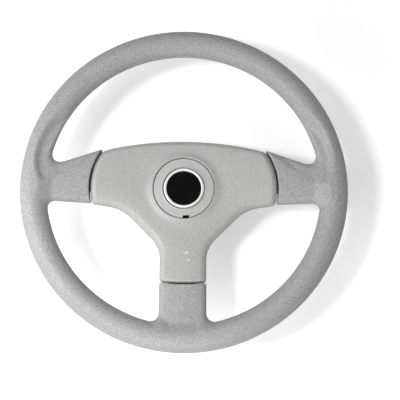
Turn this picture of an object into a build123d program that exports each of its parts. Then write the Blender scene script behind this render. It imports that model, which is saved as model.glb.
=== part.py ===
from build123d import *
from build123d.topology import SkipClean
import os
from math import atan, cos, degrees, hypot, radians, sin, sqrt, tan

os.makedirs("parts", exist_ok=True)

# The wheel lies on its back. +Z is the wheel's axis, towards the driver, and +Y is its top.
# The origin is on the axis, in the plane of the rear collar's rim.

# Rim
rim_diameter = 350.0
rim_thickness = 28.5
rim_plane_z = 74.0
rod_diameter = 14.0

# Dish of the spokes: flat around the cap, then rising towards the rim
dish_drop = 4.5
dish_knee_radius = 42.0
dish_knee_round = 100.0
front_slope = 7.0
back_slope = 10.2
body_depth = 24.0
wall = 3.0
parting_gap = 0.4

# Outline of the centre body, seen from the front
top_height = 53.4
top_arc_radius = 325.0
arm_end_x = 100.8
arm_end_radius = 75.0
arm_lower_y = -16.4
arm_lower_slope = 7.0
shoulder_offset = 87.5
shoulder_upper_round = 43.0
shoulder_lower_round = 34.0
stem_half_width = 24.8
stem_end_y = -103.0
stem_end_radius = 200.0
seam_gap = 2.0
body_edge_round = 7.0
seam_edge_round = 3.5
back_edge_round = 5.0

# Soft stubs of the spokes, seen from the front
stub_upper_y = 38.2
stub_upper_slope = 20.2
stub_lower_y = -15.9
stub_lower_slope = 1.0
stub_stem_half_width = 25.0
upper_root_round = 10.7
lower_root_round = 9.0
stem_root_round = 11.0
stub_edge_round = 6.0
stub_seat_depth = 10.5
side_sector = 50.0

# Thumb shelves on the rim above the side spokes
shelf_height = 8.4
shelf_inset = 65.15
shelf_y = 24.7
shelf_radius = 57.8
shelf_wall_slope = 45.0

# Armature
plate_thickness = 5.0
plate_inset = 2.5
spoke_bar_width = 24.0
side_bar_y = 8.5
rib_thickness = 3.0
rib_height = 10.0
rib_start = 38.0
bar_clearance = 0.6
hub_socket_wall = 4.4
web_thickness = 6.0
nut_well_radius = 24.0
armature_foot_z = 2.5

# Hub adapter and what holds it
hub_radius = 25.0
hub_length = 35.0
hub_face_z = 1.5
hub_fit = 0.05
taper_large_radius = 9.525
taper_ratio = 12.0
keyway_width = 4.76
keyway_reach = 12.4
keyway_angles = (71.0, 161.0)
hub_hole_circle = 14.5
hub_hole_radius = 2.2
hub_hole_count = 5
hub_hole_start = 44.3
hub_edge_chamfer = 1.0
pip_radius = 1.5
pip_height = 0.5
pip_circle = 20.0
hub_plate_thickness = 4.0
hub_plate_fit = 0.5
thread_hole_radius = 6.75
hub_screw_length = 20.0
hub_screw_head_radius = 4.9
countersink_angle = 90.0
hub_screw_clearance = 0.3
thread_fit = 0.05
socket_radius = 1.6
socket_depth = 2.2

# Rear collar
collar_radius = 33.0
collar_top_radius = 37.0
collar_flare_round = 7.0
collar_edge_round = 1.2

# Screws between the two covers, given for the right side
screw_places = ((84.0, 29.0), (84.0, -8.5), (42.0, 37.0), (17.0, -90.0))
cover_screw_radius = 1.7
cover_screw_length = 13.0
cover_screw_clearance = 0.5
cover_head_radius = 3.75
cover_head_height = 2.4
cover_head_round = 1.0
cover_boss_radius = 4.6
head_seat_depth = 3.2
cross_width = 1.0
cross_length = 4.0
cross_depth = 1.4

# Cap, its seat and its hooks
seat_radius = 33.2
cap_gap = 0.6
cap_proud = 0.9
cap_thickness = 4.2
seat_wall = 3.3
seat_opening_radius = 29.4
ledge_thickness = 2.5
hook_groove_height = 3.0
hook_groove_depth = 1.5
hook_count = 4
hook_start = 45.0
hook_width = 10.0
hook_thickness = 2.0
hook_fit = 0.3
hook_barb = 1.2
hook_tip_gap = 1.0
cap_skin = 2.0
cap_skirt_width = 2.2
badge_floor = 1.2
notch_width = 7.3
notch_angle = -85.0
notch_depth = 3.0
cap_edge_round = 0.8
badge_seat_radius = 22.8
badge_seat_depth = 1.8
badge_lip_width = 1.4
badge_lip_height = 0.4
badge_ring_radius = 21.6
badge_ring_height = 2.1
badge_ring_floor = 0.6
dome_radius = 18.8
dome_gap = 0.1
dome_edge_height = 1.3
dome_rise = 0.8
badge_edge_round = 0.4

rim_tube_radius = rim_thickness / 2
rim_radius = rim_diameter / 2 - rim_tube_radius
rim_inner_radius = rim_radius - rim_tube_radius
rod_radius = rod_diameter / 2
stub_seat_radius = rim_inner_radius + stub_seat_depth
shelf_x = rim_radius - shelf_inset
top_z = rim_plane_z + rim_tube_radius

# A dish surface is given by its height in the middle and its slope outside the knee.
front_floor_z = rim_plane_z - dish_drop
back_floor_z = front_floor_z - body_depth
middle_floor_z = front_floor_z - body_depth / 2
middle_slope = degrees(atan((tan(radians(front_slope)) + tan(radians(back_slope))) / 2))
plate_top_z = middle_floor_z + plate_thickness / 2
plate_bottom_z = middle_floor_z - plate_thickness / 2
socket_outer_radius = hub_radius + hub_fit + hub_socket_wall
hub_front_z = hub_face_z + hub_length
web_top_z = hub_front_z + web_thickness
hub_plate_top_z = web_top_z + hub_plate_thickness
hub_screw_radius = hub_hole_radius - thread_fit
cap_face_z = front_floor_z + cap_proud
cap_floor_z = cap_face_z - cap_thickness
half_gap = seam_gap / 2
arm_centre_x = arm_end_x - arm_end_radius
same_place = 0.02
lift = (Align.CENTER, Align.CENTER, Align.MIN)
drop = (Align.CENTER, Align.CENTER, Align.MAX)


def dish_z(floor_z, slope, radius):
    """Height of a dish surface at a radius outside its knee."""
    return floor_z + (radius - dish_knee_radius) * tan(radians(slope))


def dish_band(low_z, low_slope, high_z, high_slope, plane=Plane.XZ):
    """Section between two dish surfaces, out to the rim's outside."""
    reach = rim_diameter / 2
    low = [(0, low_z), (dish_knee_radius, low_z), (reach, dish_z(low_z, low_slope, reach))]
    high = [(0, high_z), (dish_knee_radius, high_z), (reach, dish_z(high_z, high_slope, reach))]
    with BuildSketch(plane) as section:
        with BuildLine():
            lower = FilletPolyline(*low, radius=dish_knee_round)
            upper = FilletPolyline(*high, radius=dish_knee_round)
            Line(lower @ 0, upper @ 0)
            Line(lower @ 1, upper @ 1)
        make_face()
    return section.sketch


def body_outline(inset):
    """The T of the centre body, with its edge moved in by the inset."""
    rise = tan(radians(arm_lower_slope))
    far_x = arm_end_x + arm_end_radius
    far_y = stem_end_y * 2
    corner_x = (shoulder_offset + arm_lower_y - arm_end_x * rise) / (1 - rise)
    corner_y = corner_x - shoulder_offset
    stem_corner_y = stem_half_width - shoulder_offset
    right = [
        (stem_half_width, far_y),
        (stem_half_width, stem_corner_y),
        (corner_x, corner_y),
        (far_x, arm_lower_y + (far_x - arm_end_x) * rise),
        (far_x, top_height * 2),
    ]
    left = [(-x, y) for x, y in reversed(right)]
    with BuildSketch() as reach:
        with Locations((arm_centre_x, 0), (-arm_centre_x, 0)):
            Circle(arm_end_radius - half_gap)
        Rectangle(2 * arm_centre_x, 2 * (arm_end_radius - half_gap))
        Rectangle(2 * (stem_half_width + shoulder_lower_round), -2 * far_y)
    with BuildSketch() as outline:
        with BuildLine():
            Polyline(*right, *left, close=True)
        make_face()
        for y, corner_round in ((corner_y, shoulder_upper_round), (stem_corner_y, shoulder_lower_round)):
            fillet(outline.vertices().filter_by_position(Axis.Y, y - half_gap, y + half_gap),
                   radius=corner_round)
        add(reach.sketch, mode=Mode.INTERSECT)
        with Locations((0, top_height - top_arc_radius)):
            Circle(top_arc_radius, mode=Mode.INTERSECT)
        with Locations((0, stem_end_y + stem_end_radius)):
            Circle(stem_end_radius - half_gap, mode=Mode.INTERSECT)
        if inset > 0:
            offset(amount=-inset, kind=Kind.INTERSECTION)
    return outline.sketch


def body_layer(inset, low_z, low_slope, high_z, high_slope):
    """The body's outline between two dish surfaces."""
    with BuildPart() as layer:
        extrude(body_outline(inset), amount=top_z)
        revolve(dish_band(low_z, low_slope, high_z, high_slope), axis=Axis.Z, mode=Mode.INTERSECT)
    return layer.part


def spoke_bars(start, width, depth, shifts=(0,)):
    """Bars along the three spokes, centred on the middle surface, each moved sideways by the shifts."""
    length = rim_radius - start
    centre = start + length / 2
    side_places = [(side * centre, side_bar_y + shift) for shift in shifts for side in (1, -1)]
    with BuildPart() as bars:
        with BuildSketch():
            with Locations(*side_places):
                Rectangle(length, width)
            with Locations(*[(shift, -centre) for shift in shifts]):
                Rectangle(width, length)
        extrude(amount=top_z)
        low_z, high_z = middle_floor_z - depth / 2, middle_floor_z + depth / 2
        revolve(dish_band(low_z, middle_slope, high_z, middle_slope), axis=Axis.Z, mode=Mode.INTERSECT)
    return bars.part


def on_dish(edge, floor_z, slope):
    """True for an edge that borders the body's outline on a dish surface."""
    point = edge @ 0.5
    radius = hypot(point.X, point.Y)
    return radius > dish_knee_radius + wall and abs(point.Z - dish_z(floor_z, slope, radius)) < same_place


def on_seam(edge):
    """True for an edge along one of the three seams to the soft stubs."""
    point = edge @ 0.5
    side = hypot(abs(point.X) - arm_centre_x, point.Y)
    stem = hypot(point.X, point.Y - stem_end_y - stem_end_radius)
    near_side = abs(abs(side - arm_end_radius) - half_gap) < same_place
    return near_side or abs(abs(stem - stem_end_radius) - half_gap) < same_place


cover_screw_points = [(side * x, y) for x, y in screw_places for side in (1, -1)]
cover_screw_seats = [
    (x, y, dish_z(back_floor_z, back_slope, hypot(x, y)) + head_seat_depth) for x, y in cover_screw_points
]

# Front cover: a shell with a seat for the cap and bosses for the screws
with BuildPart() as front_cover:
    add(body_layer(0, middle_floor_z + parting_gap / 2, middle_slope, front_floor_z, front_slope))
    top_edges = front_cover.edges().filter_by(lambda e: on_dish(e, front_floor_z, front_slope))
    fillet([e for e in top_edges if not on_seam(e)], radius=body_edge_round)
    top_edges = front_cover.edges().filter_by(lambda e: on_dish(e, front_floor_z, front_slope))
    fillet([e for e in top_edges if on_seam(e)], radius=seam_edge_round)
    add(body_layer(wall, back_floor_z, back_slope, front_floor_z - wall, front_slope), mode=Mode.SUBTRACT)
    for x, y in cover_screw_points:
        radius = hypot(x, y)
        low = dish_z(middle_floor_z, middle_slope, radius)
        high = dish_z(front_floor_z, front_slope, radius) - wall / 2
        with Locations((x, y, low)):
            Cylinder(cover_boss_radius, high - low, align=lift)
            Cylinder(cover_screw_radius + thread_fit, high - low - wall, align=lift, mode=Mode.SUBTRACT)
    with Locations((0, 0, plate_top_z)):
        Cylinder(seat_radius + seat_wall, front_floor_z - plate_top_z, align=lift)
    with Locations((0, 0, cap_floor_z)):
        Cylinder(seat_radius, cap_thickness, align=lift, mode=Mode.SUBTRACT)
    with Locations((0, 0, cap_floor_z)):
        Cylinder(seat_opening_radius, body_depth, mode=Mode.SUBTRACT)
    with Locations((0, 0, cap_floor_z - ledge_thickness)):
        Cylinder(seat_opening_radius + hook_groove_depth, hook_groove_height, align=drop,
                 mode=Mode.SUBTRACT)
    add(body_layer(wall, back_floor_z, back_slope, plate_top_z, middle_slope), mode=Mode.SUBTRACT)
    add(spoke_bars(arm_end_radius, spoke_bar_width + 2 * bar_clearance, rib_height + 2 * bar_clearance),
        mode=Mode.SUBTRACT)
front_cover.part.label = "front_cover"
export_step(front_cover.part, "parts/front_cover.step")

# Rear cover: the back shell, its collar and its screw bosses
with BuildPart() as rear_cover:
    add(body_layer(0, back_floor_z, back_slope, middle_floor_z - parting_gap / 2, middle_slope))
    back_edges = rear_cover.edges().filter_by(lambda e: on_dish(e, back_floor_z, back_slope))
    fillet([e for e in back_edges if not on_seam(e)], radius=back_edge_round)
    back_edges = rear_cover.edges().filter_by(lambda e: on_dish(e, back_floor_z, back_slope))
    fillet([e for e in back_edges if on_seam(e)], radius=seam_edge_round)
    add(body_layer(wall, back_floor_z + wall, back_slope, front_floor_z, front_slope), mode=Mode.SUBTRACT)
    with BuildSketch(Plane.XZ) as collar_section:
        with BuildLine():
            outer = FilletPolyline(
                (collar_radius - collar_edge_round, 0),
                (collar_radius, collar_edge_round),
                (collar_top_radius, back_floor_z),
                (collar_top_radius + collar_flare_round, back_floor_z),
                radius=(collar_edge_round, collar_flare_round),
            )
            Polyline(
                outer @ 1,
                (collar_top_radius + collar_flare_round, back_floor_z + wall),
                (collar_top_radius - wall, back_floor_z + wall),
                (collar_radius - wall, 0),
                outer @ 0,
            )
        make_face()
    revolve(axis=Axis.Z)
    with BuildSketch(Plane.XZ) as collar_bore:
        with BuildLine():
            Polyline(
                (0, 0), (collar_radius - wall, 0), (collar_top_radius - wall, back_floor_z + wall),
                (0, back_floor_z + wall), close=True,
            )
        make_face()
    revolve(axis=Axis.Z, mode=Mode.SUBTRACT)
    for x, y, seat in cover_screw_seats:
        radius = hypot(x, y)
        low = dish_z(back_floor_z, back_slope, radius) + wall / 2
        high = dish_z(middle_floor_z, middle_slope, radius)
        with Locations((x, y, low)):
            Cylinder(cover_boss_radius, high - low, align=lift)
            Cylinder(cover_boss_radius + wall / 2, seat + wall / 2 - low, align=lift)
        with Locations((x, y, seat)):
            Cylinder(cover_screw_radius + cover_screw_clearance, body_depth, mode=Mode.SUBTRACT)
            Cylinder(cover_head_radius + cover_screw_clearance, body_depth, align=drop, mode=Mode.SUBTRACT)
    add(body_layer(wall, plate_bottom_z, middle_slope, front_floor_z, front_slope), mode=Mode.SUBTRACT)
    add(spoke_bars(arm_end_radius, spoke_bar_width + 2 * bar_clearance, rib_height + 2 * bar_clearance),
        mode=Mode.SUBTRACT)
rear_cover.part.label = "rear_cover"
export_step(rear_cover.part, "parts/rear_cover.step")

# Armature: ring rod, spokes with ribs, centre plate, hub socket and nut well, all one moulding
with BuildPart() as armature:
    add(body_layer(wall + plate_inset, plate_bottom_z, middle_slope, plate_top_z, middle_slope))
    add(spoke_bars(rib_start, spoke_bar_width, plate_thickness))
    rib_shift = (spoke_bar_width - rib_thickness) / 2
    add(spoke_bars(rib_start, rib_thickness, rib_height, (rib_shift, -rib_shift)))
    with Locations((0, 0, armature_foot_z)):
        Cylinder(socket_outer_radius, plate_top_z - armature_foot_z, align=lift)
        Cylinder(hub_radius + hub_fit, hub_front_z - armature_foot_z, align=lift, mode=Mode.SUBTRACT)
    with Locations((0, 0, web_top_z)):
        Cylinder(nut_well_radius, body_depth, align=lift, mode=Mode.SUBTRACT)
    with Locations((0, 0, hub_front_z)):
        Cylinder(thread_hole_radius + hub_plate_fit, web_thickness, align=lift, mode=Mode.SUBTRACT)
        with PolarLocations(hub_hole_circle, hub_hole_count, start_angle=hub_hole_start):
            Cylinder(hub_screw_radius + hub_screw_clearance, web_thickness, align=lift, mode=Mode.SUBTRACT)
    for x, y, seat in cover_screw_seats:
        with Locations((x, y, seat)):
            Cylinder(cover_screw_radius + cover_screw_clearance, body_depth, align=lift, mode=Mode.SUBTRACT)
    with BuildSketch(Plane.XZ):
        with Locations((rim_radius, rim_plane_z)):
            Circle(rod_radius)
    revolve(axis=Axis.Z)
armature.part.label = "armature"
export_step(armature.part, "parts/armature.step")


def root_arc(point, direction, normal, root_round):
    """Arc from a stub's edge line to the rim's inner circle: its start, middle and end."""
    reach = rim_inner_radius - root_round
    foot = point + normal * root_round
    along = sqrt(foot.dot(direction) ** 2 - foot.length ** 2 + reach ** 2) - foot.dot(direction)
    centre = foot + direction * along
    outward = centre.normalized()
    middle = centre + (outward - normal).normalized() * root_round
    return centre - normal * root_round, middle, centre + outward * root_round


def stub_outline(first, second, seam_centre, seam_radius):
    """Plan of a soft stub between two edges, each a point, direction, normal and root round."""
    first_start, first_middle, first_end = root_arc(*first)
    second_start, second_middle, second_end = root_arc(*second)
    with BuildSketch() as outline:
        with BuildLine():
            Line(first[0] - first[1] * stub_seat_radius / 2, first_start)
            ThreePointArc(first_start, first_middle, first_end)
            Line(first_end, first_end.normalized() * stub_seat_radius)
            Line(first_end.normalized() * stub_seat_radius, second_end.normalized() * stub_seat_radius)
            Line(second_end.normalized() * stub_seat_radius, second_end)
            ThreePointArc(second_end, second_middle, second_start)
            Line(second_start, second[0] - second[1] * stub_seat_radius / 2)
            Line(second[0] - second[1] * stub_seat_radius / 2, first[0] - first[1] * stub_seat_radius / 2)
        make_face()
        with Locations(seam_centre):
            Circle(seam_radius, mode=Mode.SUBTRACT)
    return outline.sketch


def at_angle(angle):
    """Unit vector in the wheel's plane, at an angle from +X."""
    return Vector(cos(radians(angle)), sin(radians(angle)))


side_stub = stub_outline(
    (Vector(arm_end_x, stub_upper_y), at_angle(-stub_upper_slope), at_angle(90 - stub_upper_slope),
     upper_root_round),
    (Vector(arm_end_x, stub_lower_y), at_angle(stub_lower_slope), at_angle(stub_lower_slope - 90),
     lower_root_round),
    (arm_centre_x, 0), arm_end_radius + half_gap,
)
stem_stub = stub_outline(
    (Vector(-stub_stem_half_width, stem_end_y), at_angle(-90), at_angle(180), stem_root_round),
    (Vector(stub_stem_half_width, stem_end_y), at_angle(-90), at_angle(0), stem_root_round),
    (0, stem_end_y + stem_end_radius), stem_end_radius + half_gap,
)


def is_stub_edge(edge, floor_z, slope):
    """True for a long edge of a stub, from its seam to the rim."""
    point = edge @ 0.5
    inside_rim = hypot(point.X, point.Y) < rim_inner_radius
    return inside_rim and on_dish(edge, floor_z, slope) and not on_seam(edge)


def grip_sector(start, arc, outline=None):
    """The rim's tube from a start angle over an arc, with a stub if its outline is given."""
    with BuildPart() as sector:
        if outline is not None:
            extrude(outline, amount=top_z)
            revolve(dish_band(back_floor_z, back_slope, front_floor_z, front_slope, Plane.YZ),
                    axis=Axis.Z, mode=Mode.INTERSECT)
            for floor_z, slope in ((front_floor_z, front_slope), (back_floor_z, back_slope)):
                fillet(sector.edges().filter_by(lambda e: is_stub_edge(e, floor_z, slope)),
                       radius=stub_edge_round)
        with BuildSketch(Plane((0, 0, 0), at_angle(start), at_angle(start - 90))):
            with Locations((rim_radius, rim_plane_z)):
                Circle(rim_tube_radius)
        revolve(axis=Axis.Z, revolution_arc=arc)
        add(armature.part, mode=Mode.SUBTRACT)
    return sector.part


# Rim grip: the soft skin over the ring and the outer ends of the spokes
with BuildPart() as side_grip:
    add(grip_sector(-side_sector, 2 * side_sector, side_stub))
    shelf_drop = rim_tube_radius - shelf_height
    with Locations((shelf_x, shelf_y, rim_plane_z + shelf_height)):
        Cone(shelf_radius, shelf_radius + shelf_drop / tan(radians(shelf_wall_slope)), shelf_drop,
             align=lift, mode=Mode.SUBTRACT)

with BuildPart() as rim_grip:
    other_side = mirror(side_grip.part, about=Plane.YZ, mode=Mode.PRIVATE)
    top_grip = grip_sector(side_sector, 180 - 2 * side_sector)
    stem_grip = grip_sector(side_sector - 180, 180 - 2 * side_sector, stem_stub)
    with SkipClean():
        add([side_grip.part, other_side, top_grip, stem_grip], clean=False)
rim_grip.part.label = "rim_grip"
export_step(rim_grip.part, "parts/rim_grip.step")

# Hub adapter: cast aluminium, bored to the shaft's taper, with two keyways and five screw holes
with BuildPart() as hub_adapter:
    taper_small_radius = taper_large_radius - hub_length / taper_ratio / 2
    with BuildSketch(Plane.XZ):
        with BuildLine():
            Polyline(
                (taper_large_radius, hub_face_z),
                (hub_radius - hub_edge_chamfer, hub_face_z),
                (hub_radius, hub_face_z + hub_edge_chamfer),
                (hub_radius, hub_front_z - hub_edge_chamfer),
                (hub_radius - hub_edge_chamfer, hub_front_z),
                (taper_small_radius, hub_front_z),
                close=True,
            )
        make_face()
    revolve(axis=Axis.Z)
    for angle in keyway_angles:
        with Locations(Location((0, 0, hub_face_z), (0, 0, angle))):
            Box(keyway_reach, keyway_width, hub_length, align=(Align.MIN, Align.CENTER, Align.MIN),
                mode=Mode.SUBTRACT)
            with Locations((pip_circle, 0, 0)):
                Cylinder(pip_radius, pip_height, align=drop)
    with Locations((0, 0, hub_face_z)):
        with PolarLocations(hub_hole_circle, hub_hole_count, start_angle=hub_hole_start):
            Cylinder(hub_hole_radius, hub_length, align=lift, mode=Mode.SUBTRACT)
hub_adapter.part.label = "hub_adapter"
export_step(hub_adapter.part, "parts/hub_adapter.step")

# Hub plate: the steel seat of the helm's nut, with countersinks for the five hub screws
with BuildPart() as hub_plate:
    with Locations((0, 0, web_top_z)):
        Cylinder(nut_well_radius - hub_plate_fit, hub_plate_thickness, align=lift)
        Cylinder(thread_hole_radius, hub_plate_thickness, align=lift, mode=Mode.SUBTRACT)
    with Locations((0, 0, hub_plate_top_z)):
        with PolarLocations(hub_hole_circle, hub_hole_count, start_angle=hub_hole_start):
            CounterSinkHole(hub_screw_radius + hub_screw_clearance, hub_screw_head_radius,
                            depth=hub_plate_thickness, counter_sink_angle=countersink_angle)
hub_plate.part.label = "hub_plate"
export_step(hub_plate.part, "parts/hub_plate.step")

# Hub screws: five countersunk screws with hexagon sockets, from the plate into the hub
with BuildPart() as hub_screws:
    head_height = hub_screw_head_radius - hub_screw_radius
    with Locations((0, 0, hub_plate_top_z)):
        with PolarLocations(hub_hole_circle, hub_hole_count, start_angle=hub_hole_start):
            Cone(hub_screw_radius, hub_screw_head_radius, head_height, align=drop)
            Cylinder(hub_screw_radius, hub_screw_length, align=drop)
    with BuildSketch(Plane.XY.offset(hub_plate_top_z)):
        with PolarLocations(hub_hole_circle, hub_hole_count, start_angle=hub_hole_start):
            RegularPolygon(socket_radius, 6)
    extrude(amount=-socket_depth, mode=Mode.SUBTRACT)
hub_screws.part.label = "hub_screws"
export_step(hub_screws.part, "parts/hub_screws.step")

# Cover screws: eight pan heads with cross slots, from the back
with BuildPart() as cover_screws:
    for seat_point in cover_screw_seats:
        with Locations(seat_point):
            Cylinder(cover_head_radius, cover_head_height, align=drop)
    head_ends = cover_screws.faces().filter_by(GeomType.PLANE).filter_by(lambda f: f.normal_at().Z < 0)
    fillet(head_ends.edges(), radius=cover_head_round)
    for x, y, seat in cover_screw_seats:
        with Locations((x, y, seat)):
            Cylinder(cover_screw_radius, cover_screw_length, align=lift)
        with Locations((x, y, seat - cover_head_height)):
            Box(cross_length, cross_width, cross_depth, align=lift, mode=Mode.SUBTRACT)
            Box(cross_width, cross_length, cross_depth, align=lift, mode=Mode.SUBTRACT)
cover_screws.part.label = "cover_screws"
export_step(cover_screws.part, "parts/cover_screws.step")


def cap_hooks():
    """Four snap hooks that reach through the seat and catch under its ledge."""
    hook_outer = seat_opening_radius - hook_fit
    catch_z = cap_floor_z - ledge_thickness - hook_fit
    tip_z = plate_top_z + hook_tip_gap
    with BuildPart() as hooks:
        with BuildSketch(Plane.XZ):
            with BuildLine():
                Polyline(
                    (hook_outer - hook_thickness, cap_face_z - cap_skin),
                    (hook_outer - hook_thickness, tip_z),
                    (hook_outer, tip_z),
                    (hook_outer + hook_barb, catch_z),
                    (hook_outer, catch_z),
                    (hook_outer, cap_face_z - cap_skin),
                    close=True,
                )
            make_face()
        revolve(axis=Axis.Z)
        with BuildSketch():
            with PolarLocations(seat_radius / 2, hook_count, start_angle=hook_start):
                Rectangle(seat_radius, hook_width)
        extrude(amount=top_z, mode=Mode.INTERSECT)
    return hooks.part


# Centre cap: a snap-in disc with a seat for the badge and a notch to lift it by
with BuildPart() as centre_cap:
    cap_radius = seat_radius - cap_gap
    badge_seat_z = cap_face_z - badge_seat_depth
    with BuildSketch(Plane.XZ):
        with BuildLine():
            top = FilletPolyline(
                (badge_seat_radius, badge_seat_z),
                (badge_seat_radius, cap_face_z + badge_lip_height),
                (badge_seat_radius + badge_lip_width, cap_face_z + badge_lip_height),
                (badge_seat_radius + badge_lip_width, cap_face_z),
                (cap_radius, cap_face_z),
                (cap_radius, cap_floor_z),
                radius=(badge_lip_height / 2, badge_lip_height / 2, badge_lip_height / 2, cap_edge_round),
            )
            Polyline(
                top @ 1,
                (cap_radius - cap_skirt_width, cap_floor_z),
                (cap_radius - cap_skirt_width, cap_face_z - cap_skin),
                (badge_seat_radius + badge_lip_width, cap_face_z - cap_skin),
                (badge_seat_radius, badge_seat_z - badge_floor),
                (0, badge_seat_z - badge_floor),
                (0, badge_seat_z),
                top @ 0,
            )
        make_face()
    revolve(axis=Axis.Z)
    add(cap_hooks())
    with Locations(Location((0, 0, cap_floor_z), (0, 0, notch_angle))):
        with Locations((cap_radius - notch_depth, 0, 0)):
            Box(notch_depth + cap_gap, notch_width, cap_thickness,
                align=(Align.MIN, Align.CENTER, Align.MIN), mode=Mode.SUBTRACT)
centre_cap.part.label = "centre_cap"
export_step(centre_cap.part, "parts/centre_cap.step")

# Badge ring: a shallow metal tray let into the cap
with BuildPart() as badge_ring:
    ring_inner_radius = dome_radius + dome_gap
    with BuildSketch(Plane.XZ):
        with BuildLine():
            Polyline(
                (0, badge_seat_z),
                (badge_ring_radius, badge_seat_z),
                (badge_ring_radius, badge_seat_z + badge_ring_height),
                (ring_inner_radius, badge_seat_z + badge_ring_height),
                (ring_inner_radius, badge_seat_z + badge_ring_floor),
                (0, badge_seat_z + badge_ring_floor),
                close=True,
            )
        make_face()
    revolve(axis=Axis.Z)
    fillet(badge_ring.faces().sort_by(Axis.Z)[-1].edges(), radius=badge_edge_round)
badge_ring.part.label = "badge_ring"
export_step(badge_ring.part, "parts/badge_ring.step")

# Badge dome: a glossy lens-shaped disc on the ring's floor
with BuildPart() as badge_dome:
    dome_base_z = badge_seat_z + badge_ring_floor
    with BuildSketch(Plane.XZ):
        with BuildLine():
            edge = Polyline(
                (0, dome_base_z),
                (dome_radius, dome_base_z),
                (dome_radius, dome_base_z + dome_edge_height),
            )
            crown = RadiusArc(
                edge @ 1,
                (0, dome_base_z + dome_edge_height + dome_rise),
                -(dome_radius ** 2 + dome_rise ** 2) / (2 * dome_rise),
            )
            Line(crown @ 1, edge @ 0)
        make_face()
    revolve(axis=Axis.Z)
badge_dome.part.label = "badge_dome"
export_step(badge_dome.part, "parts/badge_dome.step")
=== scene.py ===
import math

import bpy
import numpy as np
from mathutils import Matrix, Vector


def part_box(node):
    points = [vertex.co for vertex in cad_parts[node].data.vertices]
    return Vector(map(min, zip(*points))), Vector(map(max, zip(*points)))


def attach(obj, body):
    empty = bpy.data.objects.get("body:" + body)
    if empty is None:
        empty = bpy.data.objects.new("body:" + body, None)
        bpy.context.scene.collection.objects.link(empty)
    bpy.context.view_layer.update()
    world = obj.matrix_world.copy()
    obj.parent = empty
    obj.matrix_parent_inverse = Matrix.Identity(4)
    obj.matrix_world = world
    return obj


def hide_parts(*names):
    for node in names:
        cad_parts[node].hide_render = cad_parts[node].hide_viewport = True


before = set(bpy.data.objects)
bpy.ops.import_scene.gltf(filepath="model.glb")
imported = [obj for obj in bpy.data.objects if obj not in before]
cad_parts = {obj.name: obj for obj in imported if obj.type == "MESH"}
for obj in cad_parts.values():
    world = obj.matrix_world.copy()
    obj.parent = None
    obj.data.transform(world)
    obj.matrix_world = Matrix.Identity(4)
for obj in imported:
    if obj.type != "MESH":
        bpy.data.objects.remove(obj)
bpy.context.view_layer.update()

# All sizes are in millimetres, in the wheel's own frame: +Z towards the driver, +Y to the top.
MM = 0.001

# The rim's tube: its height is that of the grip's top in the frame
grip_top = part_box("rim_grip")[1][2] / MM
TUBE_RADIUS = 14.25
RIM_RADIUS = 175.0 - TUBE_RADIUS
RIM_Z = round(grip_top, 2) - TUBE_RADIUS

# The dish of spokes and centre body
DISH_DROP = 4.5
KNEE_RADIUS = 42.0
KNEE_BLEND = 12.0
FRONT_RISE = math.tan(math.radians(7.0))
BACK_RISE = math.tan(math.radians(10.2))
FRONT_FLOOR = RIM_Z - DISH_DROP
BODY_DEPTH = 24.0
BACK_FLOOR = FRONT_FLOOR - BODY_DEPTH
MIDDLE_FLOOR = FRONT_FLOOR - BODY_DEPTH / 2
MIDDLE_RISE = (FRONT_RISE + BACK_RISE) / 2

# Crown of the spokes and the body: the face falls away towards their long edges
CROWN_DROP = 3.0
CROWN_WIDTH = 24.0

# Seams between the soft stubs and the hard centre body
SEAM_GAP = 1.5
ARM_END_X = 100.8
ARM_END_RADIUS = 75.0
ARM_CENTRE_X = ARM_END_X - ARM_END_RADIUS
STEM_END_Y = -103.0
STEM_END_RADIUS = 200.0
# Below this height the end circle of a side arm stands still, so that it stays clear of the lower spoke
ARM_SEAM_LOW_Y = -ARM_CENTRE_X * 1.5

# Soft stubs, and the fillets where they run into the rim
STUB_UPPER_Y = 38.2
STUB_UPPER_SLOPE = 20.2
STUB_LOWER_Y = -15.9
STUB_LOWER_SLOPE = 1.0
STEM_STUB_HALF = 24.9
STUB_EDGE_ROUND = 6.0
STUB_SEAM_ROUND = 0.9
UPPER_ROOT_ROUND = 15.5
LOWER_ROOT_ROUND = 9.5
ROOT_START_Y = -5.0
ROOT_CHANGE = 20.0
ROOT_SPREAD = 7.0
STEM_ROOT_ROUND = 11.0
STEM_CREASE_ROUND = 4.5
STEM_CREASE_HALF = 12.0
STUB_REACH = 149.8

# Thumb rest: a scoop between the rim's crown and the stub's upper edge. Its wall is a line in x and y.
SCOOP_X = 95.6
SCOOP_Y = 24.7
SCOOP_RADIUS = 57.8
SCOOP_FLOOR = 8.4
SCOOP_FLOOR_X = 153.0
SCOOP_FLOOR_RISE = 0.17
SCOOP_END_Y = 25.0
SCOOP_END_RISE = 0.12
SCOOP_WALL = (0.65, 0.76, 93.3)
SCOOP_CORNER = 15.0
SCOOP_CREST_ROUND = 1.5

# Outline and edges of the front shell
SHELL_TOP_Y = 53.4
SHELL_TOP_RADIUS = 325.0
SHELL_ARM_Y = -16.4
SHELL_ARM_SLOPE = 7.0
SHOULDER_OFFSET = 87.5
SHOULDER_UPPER_ROUND = 43.0
SHOULDER_LOWER_ROUND = 34.0
STEM_HALF = 24.8
SHELL_EDGE_ROUND = 7.0
SHELL_SEAM_ROUND = 2.5
# Bevels along the seams: their widths, how steep they are, and how softly they start
ARM_BEVEL = 5.2
ARM_BEVEL_LOW_Y = -30.0
STEM_BEVEL = 2.8
BEVEL_SLOPE = 0.65
BEVEL_BLEND = 0.4
SHELL_WALL = 3.0
PARTING_GAP = 0.4
# Low ring-shaped swelling round the cap
MOUND_HEIGHT = 2.0
MOUND_RADIUS = 33.0
MOUND_WIDTH = 5.0

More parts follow.
